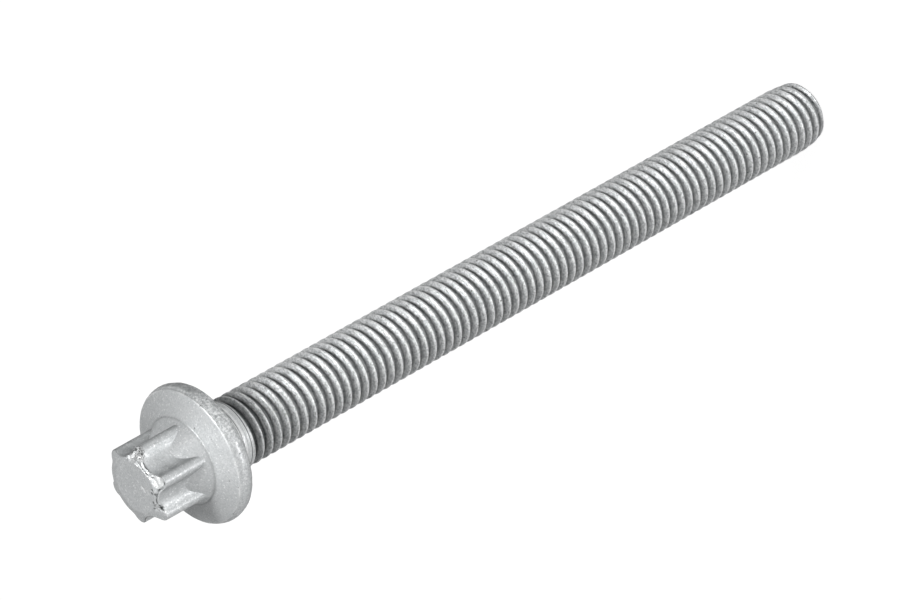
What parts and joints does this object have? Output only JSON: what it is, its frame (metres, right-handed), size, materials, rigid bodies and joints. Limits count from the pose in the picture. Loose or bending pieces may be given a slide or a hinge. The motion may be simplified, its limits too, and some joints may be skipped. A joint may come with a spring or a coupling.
{
  "type": "hexalobular head bolt",
  "caption": "Long fully threaded steel bolt with a round flange and an external six-lobed drive head, coated matt silver-grey.",
  "frame": {"origin": "centre of the bearing face under the flange, on the bolt's axis", "axes": "+Z along the axis towards the head, -Z towards the tip on which the bolt stands, +X through the point of a lobe"},
  "size_m": [0.0156, 0.0156, 0.1019],
  "materials": {
    "zinc_flake_coating": "matt silver-grey zinc-flake coating on steel, finely grained, worn on the corners"
  },
  "bodies": {
    "root": {"bolt": "zinc_flake_coating"}
  },
  "joints": []
}
